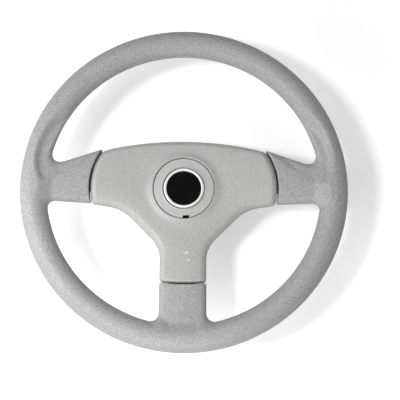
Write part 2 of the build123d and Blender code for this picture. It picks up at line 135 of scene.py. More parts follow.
# The cap's seat in the front shell, as radius and height from its lower inner edge up to the chamfer
SEAT_OUTER_RADIUS = 36.5
SEAT_BOTTOM = 60.0
SEAT_RADIUS = 33.2
SEAT_PROFILE = (
    (29.4, 60.0), (29.4, 60.7), (30.9, 60.7), (30.9, 63.7), (29.4, 63.7), (29.4, 66.2),
    (33.2, 66.2), (33.2, 66.4), (33.2, 69.2))
SEAT_CHAMFER = 0.5
LEDGE_CUT = 0.05

# Rings of the front shell: rays, steps in from the outline, and steps across the face and the inside
SHELL_RAYS = 1200
OUTLINE_STEPS = 14401
SHELL_INSETS = (
    0.0, 0.04, 0.12, 0.25, 0.42, 0.65, 0.95, 1.33, 1.8, 2.35, 2.9, 3.5, 4.1, 4.8, 5.6, 6.5, 7.3, 8.5)
FACE_STEPS = 16
FACE_CROWDING = 1.7
INSIDE_STEPS = 6
NEAREST_OUTLINE = 38.0
FARTHEST_OUTLINE = 130.0

# Grid for the soft grip: radii, turns and heights, and how far a point may be pulled at a time
GRIP_RADII = ((86.0, 106.0, 0.7), (106.0, 177.5, 1.15))
GRIP_TURNS = 720
GRIP_HEIGHTS = (54.0, 90.5, 1.1)
LONGEST_PULL = 0.6
PULLS = 5

# Snap-in cap and badge, as radius and height from the axis outwards and back under
CAP_PROFILE = (
    (22.75, 67.0), (22.8, 67.1), (22.8, 70.6), (23.0, 70.8), (24.0, 70.8), (24.2, 70.7), (24.3, 70.43),
    (24.6, 70.4), (31.5, 70.4), (31.95, 70.32), (32.35, 70.1), (32.55, 69.75), (32.6, 69.4), (32.6, 66.3),
    (32.5, 66.2), (30.4, 66.2), (30.4, 68.4), (24.8, 68.4), (24.8, 66.2), (24.6, 66.2))
CAP_RADIUS = 32.6
# The recess for the badge is closed this far below the start of the profile
CAP_FLOOR_DROP = 0.1

# Pry notch in the cap's edge; inside the fixed radius the cap keeps its shape
CAP_FIXED_RADIUS = 25.0
NOTCH_ANGLE = -85.0
NOTCH_WIDTH = 7.3
NOTCH_DEPTH = 3.0
NOTCH_CORNER = 0.6

# Badge: a turned ring with a floor, and the domed disc in it
RING_PROFILE = (
    (0.0, 69.2), (18.75, 69.2), (18.8, 69.25), (18.8, 70.35), (18.88, 70.5), (19.05, 70.62), (19.4, 70.7),
    (20.2, 70.73), (21.0, 70.7), (21.3, 70.62), (21.45, 70.5), (21.5, 70.35), (21.5, 68.7), (21.4, 68.6),
    (0.0, 68.6))
DOME_RADIUS = 18.7
DOME_FLOOR = 69.2
DOME_EDGE = 70.5
DOME_RISE = 0.8
DOME_EDGE_ROUND = 0.45

# Faint clouds in the moulded plastics: their size, and their share beside the specks
CLOUD_MM = 18.0
CLOUD_SHARE = 0.12

# Two pale rub marks on the lower spoke: centre, and half width, height and depth
SCUFFS = (((3.6, -70.0, 73.0), (3.4, 1.7, 4.0)), ((5.8, -78.4, 73.0), (1.6, 1.4, 4.0)))
SCUFF_SHARE = 0.45

# Turning lines 0.5 mm apart, coarser than real ones so that they show
TURNING_PITCH = 0.5
TURNING_SCALE = 2 * math.pi / (20 * TURNING_PITCH * MM)

# Cover screws, from the back: places, and the sizes of one screw
SCREW_PLACES = ((84.0, 29.0), (84.0, -8.5), (42.0, 37.0), (17.0, -90.0))
SCREW_SEAT_DEPTH = 3.2
SCREW_SIZES = {
    "Head radius": 3.75, "Head height": 2.4, "Shank radius": 1.7, "Shank length": 13.0,
    "Cross width": 1.0, "Cross length": 4.0, "Cross depth": 1.4}
# The radius of the ball that rounds the head, in head radii
HEAD_BALL = 1.18
SCREW_SEED = 7


# Distances: negative inside, in millimetres
def joined(a, b, radius):
    """Union of two forms with a round fillet between them."""
    fillet = np.hypot(np.maximum(radius - a, 0), np.maximum(radius - b, 0))
    return np.maximum(radius, np.minimum(a, b)) - fillet


def common(a, b, radius):
    """What two forms share, with its edge rounded."""
    rounding = np.hypot(np.maximum(radius + a, 0), np.maximum(radius + b, 0))
    return np.minimum(-radius, np.maximum(a, b)) + rounding


def eased(value, width):
    """Zero below zero and the value above it, with a soft start."""
    t = np.clip(value / width + 0.5, 0, 1)
    return np.where(t >= 1, value, 0.5 * width * t * t)


def smooth(value):
    """A share from zero to one that starts and ends softly."""
    share = np.clip(value, 0, 1)
    return share * share * (3 - 2 * share)


def dish_height(radius, floor, rise):
    """Height of a dish surface: flat in the middle, then rising to the rim."""
    return floor + rise * eased(radius - KNEE_RADIUS, KNEE_BLEND)


def crown(edge):
    """How far the face falls at a distance from the long edge, negative inside."""
    return CROWN_DROP * np.clip(1 + edge / CROWN_WIDTH, 0, 1) ** 2


def side_seam(x, y, radius):
    """Distance outside a side arm's end circle."""
    return np.hypot(np.abs(x) - ARM_CENTRE_X, y) - radius


def stem_seam(x, y, radius):
    """Distance outside the lower spoke's end circle."""
    return np.hypot(x, y - STEM_END_Y - STEM_END_RADIUS) - radius


def grip_distance(x, y, z):
    """The soft grip: the rim's tube, three stubs that run into it, and two thumb rests."""
    side = np.abs(x)
    radius = np.hypot(x, y)
    tube = np.hypot(radius - RIM_RADIUS, z - RIM_Z) - TUBE_RADIUS
    face = dish_height(radius, FRONT_FLOOR, FRONT_RISE)
    bottom = (dish_height(radius, BACK_FLOOR, BACK_RISE) - z) * math.cos(math.atan(BACK_RISE))
    below = np.maximum(bottom, radius - STUB_REACH)

    up = math.radians(STUB_UPPER_SLOPE)
    low = math.radians(STUB_LOWER_SLOPE)
    upper = (side - ARM_END_X) * math.sin(up) + (y - STUB_UPPER_Y) * math.cos(up)
    lower = (side - ARM_END_X) * math.sin(low) - (y - STUB_LOWER_Y) * math.cos(low)
    edge = np.maximum(upper, lower)
    slab = np.maximum((z - face + crown(edge)) * math.cos(math.atan(FRONT_RISE)), below)
    arm = common(edge, slab, STUB_EDGE_ROUND)
    arm = common(arm, -side_seam(x, y, ARM_END_RADIUS + SEAM_GAP / 2), STUB_SEAM_ROUND)
    share = smooth((y - ROOT_START_Y) / ROOT_CHANGE) * np.exp(-((z - RIM_Z) / ROOT_SPREAD) ** 2)
    root = LOWER_ROOT_ROUND + (UPPER_ROOT_ROUND - LOWER_ROOT_ROUND) * share
    form = joined(tube, arm, root)

    edge = side - STEM_STUB_HALF
    slab = np.maximum((z - face + crown(edge)) * math.cos(math.atan(FRONT_RISE)), below)
    stem = common(edge, slab, STUB_EDGE_ROUND)
    stem = common(stem, -stem_seam(x, y, STEM_END_RADIUS + SEAM_GAP / 2), STUB_SEAM_ROUND)
    stem = np.maximum(stem, y)
    share = smooth((side - STEM_CREASE_HALF) / (STEM_STUB_HALF - STEM_CREASE_HALF))
    root = STEM_CREASE_ROUND + (STEM_ROOT_ROUND - STEM_CREASE_ROUND) * share
    form = joined(form, stem, root)

    floor = RIM_Z + SCOOP_FLOOR + SCOOP_FLOOR_RISE * (side - SCOOP_FLOOR_X)
    floor = floor + SCOOP_END_RISE * eased(SCOOP_END_Y - y, KNEE_BLEND)
    ring = np.hypot(side - SCOOP_X, y - SCOOP_Y) - SCOOP_RADIUS
    wall = SCOOP_WALL[2] - SCOOP_WALL[0] * side - SCOOP_WALL[1] * y
    plan = common(ring, wall, SCOOP_CORNER)
    scoop = common(floor - z, (plan - (z - floor)) * math.sqrt(0.5), SCOOP_CREST_ROUND)
    return common(form, -scoop, SCOOP_CREST_ROUND)


def hollow_corner(x, y, corner, first, second, radius):
    """Distance outside two straight edges that leave a hollow corner, with a fillet in it."""
    across, along = x - corner[0], y - corner[1]
    turn = -(first[0] * second[0] + first[1] * second[1])
    reach = radius * math.sqrt((1 - turn) / (1 + turn))
    from_x = across - reach * first[0] - radius * first[1]
    from_y = along - reach * first[1] + radius * first[0]
    past_first = from_x * first[0] + from_y * first[1]
    past_second = from_x * second[0] + from_y * second[1]
    first_edge = across * first[1] - along * first[0]
    second_edge = along * second[0] - across * second[1]
    straight = np.where(past_first >= past_second, first_edge, second_edge)
    return np.where((past_first < 0) & (past_second < 0), radius - np.hypot(from_x, from_y), straight)


def shell_edge(x, y):
    """Distance outside the front shell's T, without its seams."""
    side = np.abs(x)
    top = np.hypot(x, y - SHELL_TOP_Y + SHELL_TOP_RADIUS) - SHELL_TOP_RADIUS
    slope = math.radians(SHELL_ARM_SLOPE)
    rise = math.tan(slope)
    arm_x = (SHOULDER_OFFSET + SHELL_ARM_Y - ARM_END_X * rise) / (1 - rise)
    arm_y = arm_x - SHOULDER_OFFSET
    stem_y = STEM_HALF - SHOULDER_OFFSET
    half = math.sqrt(0.5)
    upper = hollow_corner(side, y, (arm_x, arm_y), (math.cos(slope), math.sin(slope)), (-half, -half),
                          SHOULDER_UPPER_ROUND)
    lower = hollow_corner(side, y, (STEM_HALF, stem_y), (half, half), (0.0, -1.0), SHOULDER_LOWER_ROUND)
    near_arm = side + y > (arm_x + arm_y + STEM_HALF + stem_y) / 2
    return np.maximum(top, np.where(near_arm, upper, lower))


def shell_seams(x, y):
    """Distance outside the front shell's three seams."""
    side = side_seam(x, np.maximum(y, ARM_SEAM_LOW_Y), ARM_END_RADIUS - SEAM_GAP / 2)
    return np.maximum(side, stem_seam(x, y, STEM_END_RADIUS - SEAM_GAP / 2))


def shell_outline(x, y):
    """Distance outside the front shell, seen from the front."""
    return common(shell_edge(x, y), shell_seams(x, y), SHELL_SEAM_ROUND)


def shell_height(x, y):
    """Height of the front shell's face: the dish, the mound round the cap and the rounded edges."""
    radius = np.hypot(x, y)
    face = dish_height(radius, FRONT_FLOOR, FRONT_RISE) - crown(shell_edge(x, y))
    face = face + MOUND_HEIGHT * np.exp(-((radius - MOUND_RADIUS) / MOUND_WIDTH) ** 2)
    arm_end = side_seam(x, np.maximum(y, ARM_BEVEL_LOW_Y), ARM_END_RADIUS - SEAM_GAP / 2)
    stem_end = stem_seam(x, y, STEM_END_RADIUS - SEAM_GAP / 2)
    face = face - BEVEL_SLOPE * eased(arm_end + ARM_BEVEL, BEVEL_BLEND)
    face = face - BEVEL_SLOPE * eased(stem_end + STEM_BEVEL, BEVEL_BLEND)
    seam = np.clip(SHELL_SEAM_ROUND + shell_seams(x, y), 0, SHELL_SEAM_ROUND)
    edge = np.clip(SHELL_EDGE_ROUND + shell_edge(x, y), 0, SHELL_EDGE_ROUND)
    lowered = SHELL_SEAM_ROUND - np.sqrt(SHELL_SEAM_ROUND ** 2 - seam ** 2)
    return face - SHELL_EDGE_ROUND + np.sqrt(np.maximum((SHELL_EDGE_ROUND - lowered) ** 2 - edge ** 2, 0))


def slope_of(distance, points):
    """Gradient of a distance, worked out by small steps."""
    step = 0.02
    columns = []
    for axis in range(3):
        shift = np.zeros(3)
        shift[axis] = step
        ahead = distance(*(points + shift).T)
        behind = distance(*(points - shift).T)
        columns.append((ahead - behind) / (2 * step))
    return np.stack(columns, axis=1)


def skin(distance, radii, turns, heights):
    """Closed skin of a form: points on its surface and four-sided faces, from a grid round the axis."""
    angles = np.arange(turns) * 2 * math.pi / turns
    r, a, z = np.meshgrid(radii, angles, heights, indexing="ij")
    places = np.stack([r * np.cos(a), r * np.sin(a), z], axis=-1)
    value = distance(places[..., 0], places[..., 1], places[..., 2])
    inside = value < 0

    def corner(array, i, j, k):
        turned = np.roll(array, -j, axis=1)
        return turned[i:turned.shape[0] - 1 + i, :, k:turned.shape[2] - 1 + k]

    corners = [(i, j, k) for i in (0, 1) for j in (0, 1) for k in (0, 1)]
    count = sum(corner(inside, *c).astype(int) for c in corners)
    cells = (count > 0) & (count < 8)
    number = np.full(cells.shape, -1)
    number[cells] = np.arange(cells.sum())

    total = np.zeros((cells.sum(), 3))
    weight = np.zeros(cells.sum())
    for axis in range(3):
        for c in corners:
            if c[axis]:
                continue
            d = list(c)
            d[axis] = 1
            v0, v1 = corner(value, *c)[cells], corner(value, *d)[cells]
            p0, p1 = corner(places, *c)[cells], corner(places, *d)[cells]
            cross = (v0 < 0) != (v1 < 0)
            share = np.where(cross, v0 / np.where(cross, v0 - v1, 1), 0)[:, None]
            total += np.where(cross[:, None], p0 + share * (p1 - p0), 0)
            weight += cross
    points = total / weight[:, None]
    for _ in range(PULLS):
        slope = slope_of(distance, points)
        pull = distance(*points.T) / np.maximum((slope ** 2).sum(axis=1), 0.1)
        points = points - np.clip(pull, -LONGEST_PULL, LONGEST_PULL)[:, None] * slope

    faces = []
    for axis in range(3):
        first, second = [n for n in range(3) if n != axis]
        ahead = np.roll(inside, -1, axis=axis)
        change = inside != ahead
        if axis != 1:
            change[(slice(None),) * axis + (-1,)] = False
        where = np.argwhere(change)
        ring = []
        for da, db in ((0, 0), (1, 0), (1, 1), (0, 1)):
            cell = where.copy()
            cell[:, first] -= da
            cell[:, second] -= db
            cell[:, 1] %= turns
            ring.append(number[tuple(cell.T)])
        quads = np.stack(ring, axis=1)
        flip = inside[tuple(where.T)] == (axis == 1)
        quads[flip] = quads[flip][:, ::-1]
        faces.append(quads)
    return points, np.concatenate(faces)


def reach_of(angles, inset):
    """Radius at which each ray from the axis meets the front shell's outline, moved in by the inset."""
    low = np.full(angles.shape, NEAREST_OUTLINE)
    high = np.full(angles.shape, FARTHEST_OUTLINE)
    for _ in range(40):
        middle = (low + high) / 2
        outside = shell_outline(middle * np.cos(angles), middle * np.sin(angles)) > -inset
        high = np.where(outside, middle, high)
        low = np.where(outside, low, middle)
    return low


def even_rays(count):
    """Angles of rays from the axis that cut the front shell's outline into equal lengths."""
    angles = np.linspace(0, 2 * math.pi, OUTLINE_STEPS)
    reach = reach_of(angles, 0.0)
    x, y = reach * np.cos(angles), reach * np.sin(angles)
    length = np.concatenate([[0], np.cumsum(np.hypot(np.diff(x), np.diff(y)))])
    return np.interp(np.arange(count) * length[-1] / count, length, angles)


def ring_faces(rows, turns, closed):
    """Four-sided faces between rings of points; closed joins the last ring to the first."""
    last = rows if closed else rows - 1
    row, turn = np.meshgrid(np.arange(last), np.arange(turns), indexing="ij")
    here, ahead = row * turns, (row + 1) % rows * turns
    after = (turn + 1) % turns
    return np.stack([here + turn, here + after, ahead + after, ahead + turn], axis=-1).reshape(-1, 4)


def notch_share(angles, radius):
    """One in the cap's pry notch and zero beside it, at a radius."""
    turn = np.angle(np.exp(1j * (angles - math.radians(NOTCH_ANGLE))))
    off = np.abs(np.sin(turn) * radius) + 100 * (np.cos(turn) < 0)
    return smooth((NOTCH_WIDTH / 2 + NOTCH_CORNER / 2 - off) / NOTCH_CORNER)


def front_shell():
    """The front shell as closed rings: side, rounded edge, face, seat of the cap, and the inside."""
    angles = even_rays(SHELL_RAYS)
    rings = []

    def ring(radius, height):
        spread = np.broadcast_to(radius, angles.shape)
        rings.append(np.stack([spread * np.cos(angles), spread * np.sin(angles),
                               np.broadcast_to(height, angles.shape)], axis=1))

    def face_at(radius):
        return shell_height(radius * np.cos(angles), radius * np.sin(angles))

    outline = reach_of(angles, 0.0)
    parting = dish_height(outline, MIDDLE_FLOOR, MIDDLE_RISE) + PARTING_GAP / 2
    ring(outline, parting)
    for inset in SHELL_INSETS:
        reach = reach_of(angles, inset)
        ring(reach, face_at(reach))
    shoulder = np.full(angles.shape, SEAT_RADIUS + SEAT_CHAMFER)
    for share in np.linspace(1, 0, FACE_STEPS + 1)[1:] ** FACE_CROWDING:
        radius = shoulder + (reach - shoulder) * share
        ring(radius, face_at(radius))
    ring(SEAT_RADIUS, face_at(shoulder) - SEAT_CHAMFER)
    open_ledge = notch_share(angles, SEAT_RADIUS) > 0.5
    for radius, height in reversed(SEAT_PROFILE):
        ring(np.where(open_ledge, SEAT_RADIUS - LEDGE_CUT, radius), height)
    ring(SEAT_OUTER_RADIUS, SEAT_BOTTOM)
    for share in np.linspace(0, 1, INSIDE_STEPS):
        radius = SEAT_OUTER_RADIUS + (reach - SEAT_OUTER_RADIUS) * share
        ring(radius, face_at(radius) - SHELL_WALL)
    inner = reach_of(angles, SHELL_WALL)
    ring(inner, face_at(inner) - SHELL_WALL)
    ring(inner, dish_height(inner, MIDDLE_FLOOR, MIDDLE_RISE) + PARTING_GAP / 2)
    return np.concatenate(rings), ring_faces(len(rings), len(angles), True)


def turned(profile, angles, notched=False):
    """A form turned about the axis from radius and height; a radius of zero closes it with a pole."""
    points = []
    poles = []
    for radius, height in profile:
        if radius == 0:
            poles.append((0.0, 0.0, height))
            continue
        reach = np.full(angles.shape, radius)
        if notched and radius > CAP_FIXED_RADIUS:
            depth = NOTCH_DEPTH * notch_share(angles, CAP_RADIUS)
            kept = 1 - depth / (CAP_RADIUS - CAP_FIXED_RADIUS)
            reach = CAP_FIXED_RADIUS + (radius - CAP_FIXED_RADIUS) * kept
        level = np.full(angles.shape, height)
        points.append(np.stack([reach * np.cos(angles), reach * np.sin(angles), level], axis=1))
    rows, turns = len(points), len(angles)
    faces = ring_faces(rows, turns, False).tolist()
    points = np.concatenate(points)
    if poles:
        top, bottom = rows * turns, rows * turns + 1
        points = np.concatenate([points, poles])
        turn = np.arange(turns)
        after = (turn + 1) % turns
        under = (rows - 1) * turns
        faces += np.stack([np.full(turns, top), after, turn], axis=1).tolist()
        faces += np.stack([np.full(turns, bottom), under + turn, under + after], axis=1).tolist()
    return points, faces


def dome_profile():
    """Radius and height of the badge's dome, from its top over the rounded edge and back under."""
    flat = DOME_RADIUS - DOME_EDGE_ROUND
    sphere = (flat ** 2 + DOME_RISE ** 2) / (2 * DOME_RISE)
    top = DOME_EDGE + DOME_RISE
    profile = [(0.0, top)]
    for share in np.linspace(0.04, 1, 20):
        radius = flat * share
        profile.append((radius, top - sphere + math.sqrt(sphere ** 2 - radius ** 2)))
    for angle in np.radians(np.linspace(75, 0, 6)):
        profile.append((flat + DOME_EDGE_ROUND * math.cos(angle),
                        DOME_EDGE - DOME_EDGE_ROUND + DOME_EDGE_ROUND * math.sin(angle)))
    return profile + [(DOME_RADIUS, DOME_FLOOR), (0.0, DOME_FLOOR)]


def linear(colour):
    """An sRGB hex colour as linear red, green, blue and alpha."""
    parts = [int(colour[i:i + 2], 16) / 255 for i in (1, 3, 5)]
    return [p / 12.92 if p <= 0.04045 else ((p + 0.055) / 1.055) ** 2.4 for p in parts] + [1.0]


def node(tree, kind, inputs=None, **settings):
    """Adds a node with its settings; an input is a value or another node's output."""
    new = tree.nodes.new(kind)
    for name, value in settings.items():
        setattr(new, name, value)
    for name, value in (inputs or {}).items():
        if isinstance(value, bpy.types.NodeSocket):
            tree.links.new(value, new.inputs[name])
        else:
            new.inputs[name].default_value = value
    return new


def new_material(name):
    """An empty material with a shader, and its tree and shader."""
    made = bpy.data.materials.new(name)
    made.use_nodes = True
    made.node_tree.nodes.clear()
    shader = node(made.node_tree, "ShaderNodeBsdfPrincipled")
    node(made.node_tree, "ShaderNodeOutputMaterial", {"Surface": shader.outputs["BSDF"]})
    return made, made.node_tree, shader


def own_place(tree):
    """Object coordinates, in metres, so that a pattern keeps its real size."""
    return node(tree, "ShaderNodeTexCoord").outputs["Object"]


def noise(tree, size_mm, detail, roughness=0.5):
    """Noise with blotches of about the size given."""
    return node(tree, "ShaderNodeTexNoise", {
        "Vector": own_place(tree), "Scale": 1 / (size_mm * MM), "Detail": detail,
        "Roughness": roughness}).outputs["Fac"]


def ranged(tree, value, start, end, low=0.0, high=1.0):
    """The value's share from start to end, laid out between low and high."""
    inputs = {"Value": value, "From Min": start, "From Max": end, "To Min": low, "To Max": high}
    return node(tree, "ShaderNodeMapRange", inputs).outputs["Result"]


def between(tree, share, first, second):
    """A colour between two others."""
    mix = node(tree, "ShaderNodeMix", {0: share, 6: first, 7: second}, data_type="RGBA")
    return mix.outputs[2]


def relief(tree, height, depth_mm):
    """Fine relief of the depth given, as a bump node."""
    return node(tree, "ShaderNodeBump", {"Height": height, "Distance": depth_mm * MM})


def moulded(name, colour, pale, rough, grain_mm, grain_depth, speck_mm, speck_depth):
    """A moulded plastic: even colour with faint clouds, a fine pebbled grain, small changes of gloss."""
    made, tree, shader = new_material(name)
    clouds = noise(tree, CLOUD_MM, 4.0)
    specks = noise(tree, speck_mm, 1.0)
    shade = node(tree, "ShaderNodeMix", {0: CLOUD_SHARE, 2: ranged(tree, specks, 0.3, 0.7), 3: clouds})
    tint = between(tree, shade.outputs[0], linear(colour), linear(pale))
    tree.links.new(tint, shader.inputs["Base Color"])
    gloss = ranged(tree, clouds, 0.3, 0.7, rough - 0.05, rough + 0.05)
    tree.links.new(gloss, shader.inputs["Roughness"])
    pebbles = node(tree, "ShaderNodeTexVoronoi", {"Vector": own_place(tree), "Scale": 1 / (grain_mm * MM)},
                   feature="SMOOTH_F1")
    grain = relief(tree, pebbles.outputs["Distance"], grain_depth)
    swell = relief(tree, specks, speck_depth)
    tree.links.new(grain.outputs["Normal"], swell.inputs["Normal"])
    tree.links.new(swell.outputs["Normal"], shader.inputs["Normal"])
    return made


def scuffed(made, marks):
    """Small pale rub marks on a moulded plastic, each an ellipse that fades out."""
    tree = made.node_tree
    shader = next(part for part in tree.nodes if part.type == "BSDF_PRINCIPLED")
    for centre, sizes in marks:
        spot = node(tree, "ShaderNodeMapping", {
            "Vector": own_place(tree), "Location": [value * MM for value in centre],
            "Scale": [value * MM for value in sizes]}, vector_type="TEXTURE")
        fade = node(tree, "ShaderNodeTexGradient", {"Vector": spot.outputs[0]}, gradient_type="SPHERICAL")
        plain = shader.inputs["Base Color"].links[0].from_socket
        share = ranged(tree, fade.outputs["Fac"], 0.0, 0.5, 0.0, SCUFF_SHARE)
        rubbed = between(tree, share, plain, linear("#F2F2F0"))
        tree.links.new(rubbed, shader.inputs["Base Color"])


def bare_metal(name, colour, dark, rough, patch_mm, grain_mm, grain_depth):
    """A bare metal: patches of two tones, with gloss and relief that follow its surface."""
    made, tree, shader = new_material(name)
    shader.inputs["Metallic"].default_value = 1.0
    patches = ranged(tree, noise(tree, patch_mm, 5.0), 0.35, 0.65)
    tree.links.new(between(tree, patches, linear(dark), linear(colour)), shader.inputs["Base Color"])
    gloss = ranged(tree, patches, 0.0, 1.0, rough + 0.08, rough - 0.06)
    tree.links.new(gloss, shader.inputs["Roughness"])
    grain = relief(tree, noise(tree, grain_mm, 3.0), grain_depth)
    tree.links.new(grain.outputs["Normal"], shader.inputs["Normal"])
    return made


def silvered_ring():
    """Silver lacquer over turned aluminium: nearly white, satin, with fine lines round the axis."""
    made, tree, shader = new_material("silver-lacquered aluminium")
    shader.inputs["Metallic"].default_value = 0.25
    lines = node(tree, "ShaderNodeTexWave", {
        "Vector": own_place(tree), "Scale": TURNING_SCALE, "Distortion": 0.6, "Detail": 2.0},
        wave_type="RINGS", rings_direction="Z").outputs["Fac"]
    clouds = noise(tree, 11.1, 3.0)
    tree.links.new(between(tree, clouds, linear("#E2E2E1"), linear("#F2F2F1")), shader.inputs["Base Color"])
    tree.links.new(ranged(tree, lines, 0.0, 1.0, 0.32, 0.44), shader.inputs["Roughness"])
    tree.links.new(relief(tree, lines, 0.01).outputs["Normal"], shader.inputs["Normal"])
    return made


def domed_black():
    """Black domed resin: deep gloss with a faint film of dust that dulls it in places."""
    made, tree, shader = new_material("black domed resin")
    film = ranged(tree, noise(tree, 6.25, 6.0, 0.65), 0.45, 0.7)
    tree.links.new(between(tree, film, linear("#040405"), linear("#0C0C0D")), shader.inputs["Base Color"])
    tree.links.new(ranged(tree, film, 0.0, 1.0, 0.05, 0.14), shader.inputs["Roughness"])
    shader.inputs["Specular IOR Level"].default_value = 0.3
    return made


def mesh_piece(name, points, faces, material, sharp=None):
    """A closed piece from points in millimetres, faces outwards, smooth but for edges past the angle."""
    mesh = bpy.data.meshes.new(name)
    mesh.from_pydata((np.asarray(points) * MM).tolist(), [], [list(face) for face in faces])
    mesh.validate()
    inside_out = sum(polygon.center.dot(polygon.normal) * polygon.area for polygon in mesh.polygons) < 0
    if inside_out:
        mesh.flip_normals()
    mesh.polygons.foreach_set("use_smooth", [True] * len(mesh.polygons))
    if sharp is not None:
        mesh.set_sharp_from_angle(angle=math.radians(sharp))
    mesh.materials.append(material)
    piece = bpy.data.objects.new(name, mesh)
    bpy.context.collection.objects.link(piece)
    return piece


def stands_for(piece, name):
    """The piece rides on the wheel in the place of a CAD node."""
    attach(piece, "root")
    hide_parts(name)


def screw_tree():
    """Cross-recessed pan-head screws, one on each point, each turned its own way."""
    tree = bpy.data.node_groups.new("cover screws", "GeometryNodeTree")
    tree.interface.new_socket("Places", in_out="INPUT", socket_type="NodeSocketGeometry")
    named = {}
    for label in SCREW_SIZES:
        named[label] = tree.interface.new_socket(label, in_out="INPUT", socket_type="NodeSocketFloat")
    named["Material"] = tree.interface.new_socket(
        "Material", in_out="INPUT", socket_type="NodeSocketMaterial")
    tree.interface.new_socket("Screws", in_out="OUTPUT", socket_type="NodeSocketGeometry")
    given = node(tree, "NodeGroupInput").outputs

    def sum_of(a, b, operation="ADD"):
        return node(tree, "ShaderNodeMath", {0: a, 1: b}, operation=operation).outputs[0]

    def moved(form, height, turn=0.0):
        place = node(tree, "ShaderNodeCombineXYZ", {"Z": height}).outputs[0]
        return node(tree, "GeometryNodeTransform", {"Geometry": form, "Translation": place,
                                                    "Rotation": (0.0, 0.0, turn)}).outputs[0]

    head_radius, head_height = given["Head radius"], given["Head height"]
    disc = node(tree, "GeometryNodeMeshCylinder", {
        "Vertices": 64, "Side Segments": 1, "Radius": head_radius, "Depth": head_height}).outputs["Mesh"]
    disc = moved(disc, sum_of(head_height, -0.5, "MULTIPLY"))
    ball_radius = sum_of(head_radius, HEAD_BALL, "MULTIPLY")
    ball = node(tree, "GeometryNodeMeshUVSphere", {
        "Segments": 64, "Rings": 48, "Radius": ball_radius}).outputs["Mesh"]
    ball = moved(ball, sum_of(ball_radius, head_height, "SUBTRACT"))
    head = node(tree, "GeometryNodeMeshBoolean", operation="INTERSECT", solver="EXACT")
    tree.links.new(disc, head.inputs["Mesh 2"])
    tree.links.new(ball, head.inputs["Mesh 2"])
    bar_height = sum_of(given["Cross depth"], 2.0, "MULTIPLY")
    bar_size = node(tree, "ShaderNodeCombineXYZ", {
        "X": given["Cross length"], "Y": given["Cross width"], "Z": bar_height}).outputs[0]
    bar = node(tree, "GeometryNodeMeshCube", {"Size": bar_size}).outputs["Mesh"]
    low = sum_of(head_height, -1.0, "MULTIPLY")
    cut = node(tree, "GeometryNodeMeshBoolean", {"Mesh 1": head.outputs["Mesh"]}, operation="DIFFERENCE",
               solver="EXACT")
    tree.links.new(moved(bar, low), cut.inputs["Mesh 2"])
    tree.links.new(moved(bar, low, math.pi / 2), cut.inputs["Mesh 2"])
    shank = node(tree, "GeometryNodeMeshCylinder", {
        "Vertices": 32, "Radius": given["Shank radius"], "Depth": given["Shank length"]}).outputs["Mesh"]
    shank = moved(shank, sum_of(given["Shank length"], 0.5, "MULTIPLY"))
    screw = node(tree, "GeometryNodeJoinGeometry")
    tree.links.new(cut.outputs["Mesh"], screw.inputs[0])
    tree.links.new(shank, screw.inputs[0])
    turn = node(tree, "FunctionNodeRandomValue", {
        "Min": (0.0, 0.0, 0.0), "Max": (0.0, 0.0, math.pi), "Seed": SCREW_SEED}, data_type="FLOAT_VECTOR")
    placed = node(tree, "GeometryNodeInstanceOnPoints", {
        "Points": given["Places"], "Instance": screw.outputs[0], "Rotation": turn.outputs[0]})
    solid = node(tree, "GeometryNodeRealizeInstances", {"Geometry": placed.outputs[0]})
    dressed = node(tree, "GeometryNodeSetMaterial", {
        "Geometry": solid.outputs[0], "Material": given["Material"]})
    node(tree, "NodeGroupOutput", {0: dressed.outputs[0]})
    return tree, named


def cover_screws(material):
    """The eight screws that hold the two covers together, as one mesh."""
    places = []
    for across, along in SCREW_PLACES:
        seat = BACK_FLOOR + (math.hypot(across, along) - KNEE_RADIUS) * BACK_RISE + SCREW_SEAT_DEPTH
        places += [(side * across * MM, along * MM, seat * MM) for side in (1, -1)]
    mesh = bpy.data.meshes.new("screw places")
    mesh.from_pydata(places, [], [])
    holder = bpy.data.objects.new("cover_screw_places", mesh)
    bpy.context.collection.objects.link(holder)
    tree, named = screw_tree()
    modifier = holder.modifiers.new("screws", "NODES")
    modifier.node_group = tree
    for label, value in SCREW_SIZES.items():
        modifier[named[label].identifier] = value * MM
    modifier[named["Material"].identifier] = material
    bpy.context.view_layer.update()
    evaluated = holder.evaluated_get(bpy.context.evaluated_depsgraph_get())
    made = bpy.data.meshes.new_from_object(evaluated)
    holder.modifiers.remove(modifier)
    bpy.data.objects.remove(holder)
    made.polygons.foreach_set("use_smooth", [True] * len(made.polygons))
    made.set_sharp_from_angle(angle=math.radians(30))
    piece = bpy.data.objects.new("cover_screw_set", made)
    bpy.context.collection.objects.link(piece)
    return piece


# Polyurethane skin foam: soft, satin to dull, with a fine pebbled skin
grip_material = moulded("polyurethane skin foam", "#898989", "#AFAFAF", 0.5, 1.3, 0.12, 1.3, 0.16)
# ABS, injection moulded with a spark-eroded grain: paler and smoother than the grip, with a slight sheen
shell_material = moulded("moulded ABS", "#9C9C9C", "#BABAB9", 0.42, 1.0, 0.06, 1.2, 0.08)
scuffed(shell_material, SCUFFS)
# The cap's ABS, a shade lighter, with a finer grain
cap_material = moulded("fine-grained ABS", "#ABABAB", "#BEBEBD", 0.4, 0.9, 0.03, 1.1, 0.04)
# Glass-filled nylon: black, dull, with a dry grain
nylon_material = moulded("black glass-filled nylon", "#101012", "#1B1B1D", 0.55, 0.9, 0.04, 1.9, 0.04)
# Die-cast aluminium, unpainted: dark grey, blotched and slightly rough
cast_material = bare_metal("die-cast aluminium", "#8E8F91", "#5E5F61", 0.45, 6.0, 0.5, 0.05)
# Zinc-plated steel: bright with a bluish tone and soft blotches
steel_material = bare_metal("zinc-plated steel", "#C4C6C9", "#9FA2A6", 0.3, 3.0, 0.4, 0.01)
# Silver lacquer over aluminium: the bright ring that sets off the badge
ring_material = silvered_ring()
# Domed resin: the darkest spot of the wheel, with a mirror-like skin
dome_material = domed_black()

